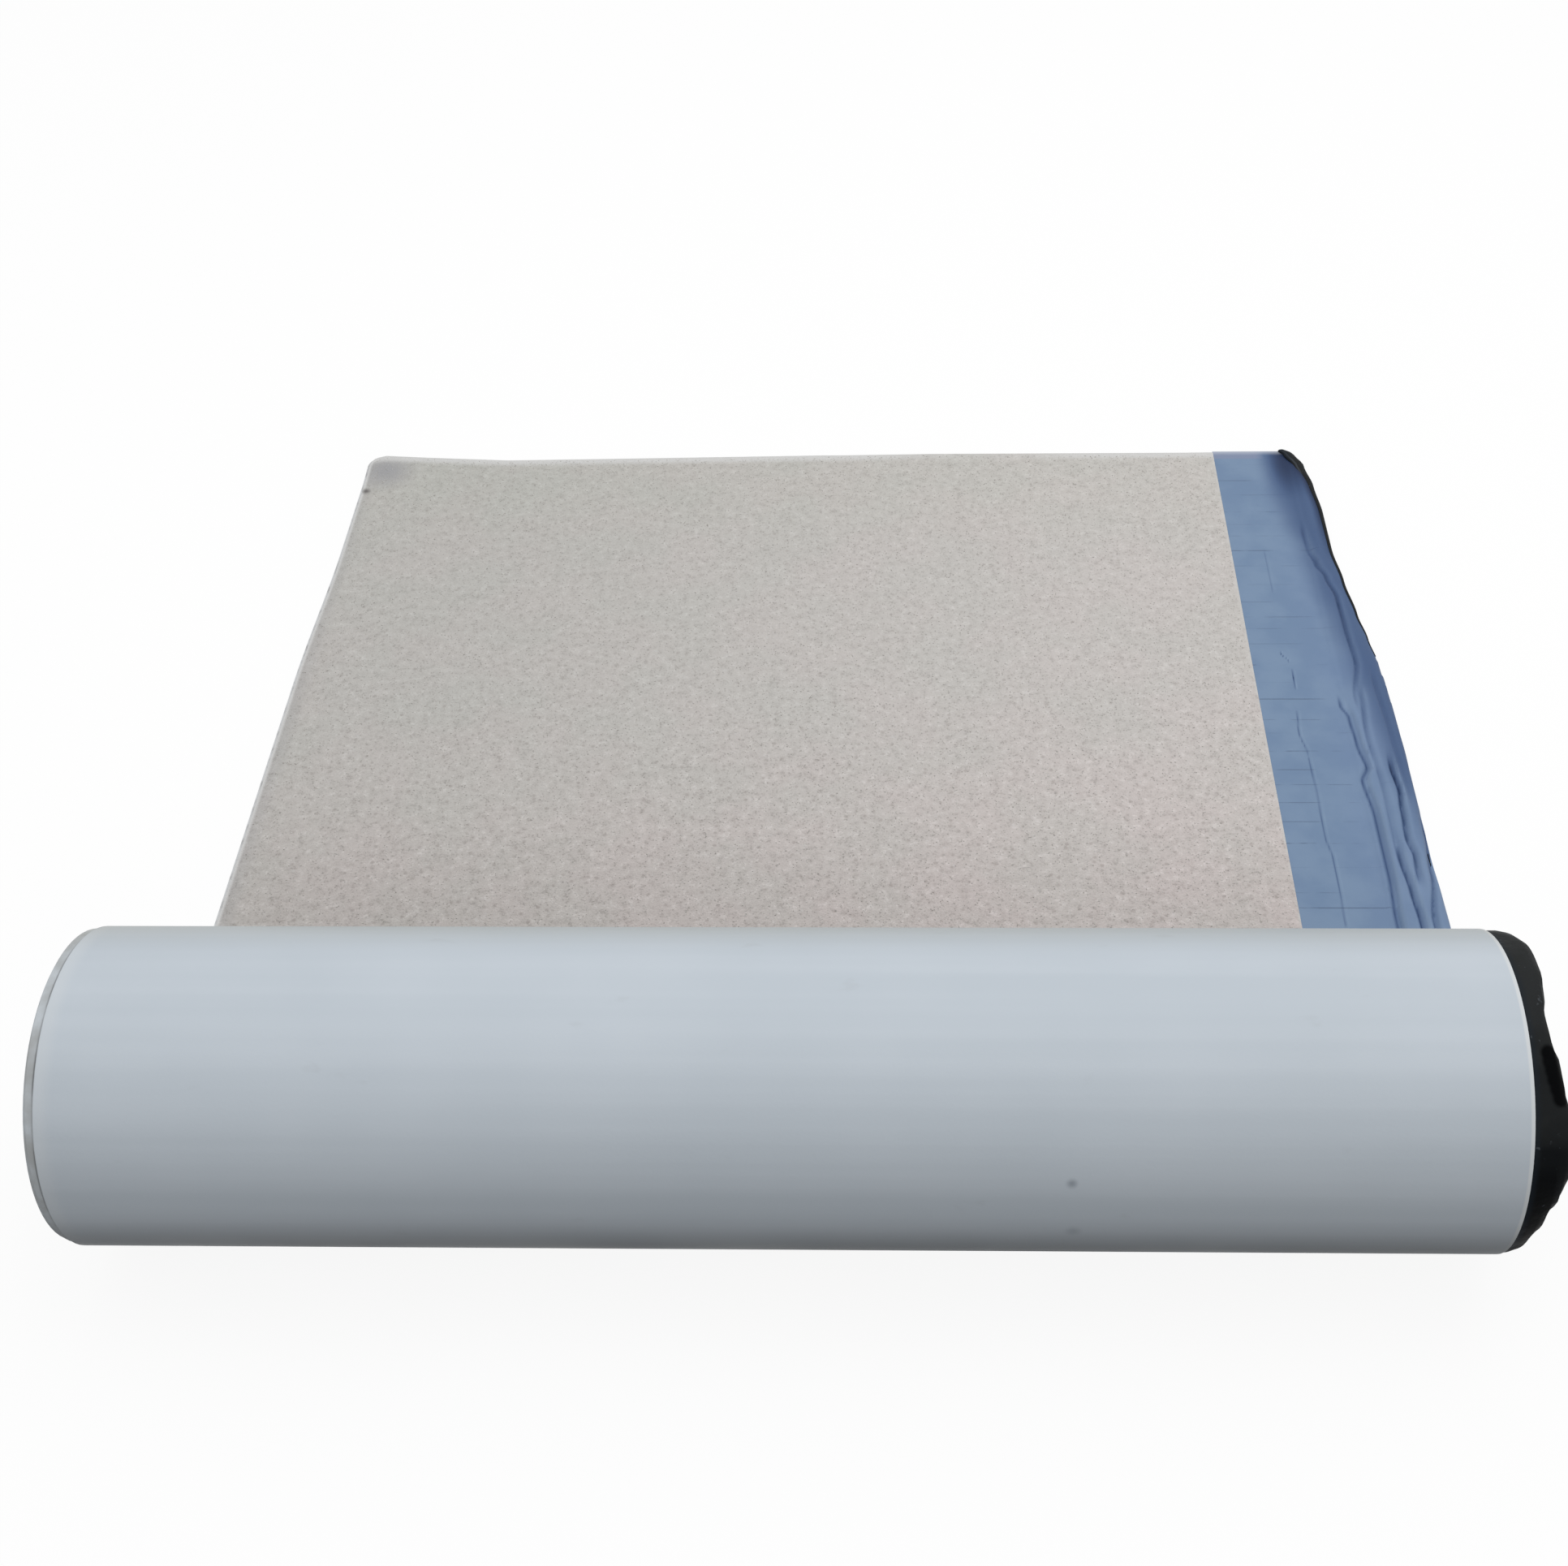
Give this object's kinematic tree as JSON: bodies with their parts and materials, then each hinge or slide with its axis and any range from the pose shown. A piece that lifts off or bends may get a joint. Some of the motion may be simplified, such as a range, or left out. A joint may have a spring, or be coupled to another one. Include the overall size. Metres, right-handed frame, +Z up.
{
  "type": "waterproofing membrane roll",
  "caption": "Part-unrolled roll of self-adhesive waterproofing membrane: smooth pale outer face, sand-faced inner face on a flat tail, and a lap strip under release film along one edge.",
  "frame": {"origin": "on the floor, under the roll's axis, at the middle of the sheet's width", "axes": "+X along the roll towards the film-covered lap, +Y from the roll along the unrolled tail, +Z up from the floor"},
  "size_m": [1.054, 1.0243, 0.2286],
  "materials": {
    "membrane": "satin polyethylene outside, beige sand facing inside",
    "lap_film": "satin blue film, black adhesive on its back"
  },
  "bodies": {
    "root": {"membrane": "membrane", "lap_film": "lap_film"}
  },
  "joints": []
}
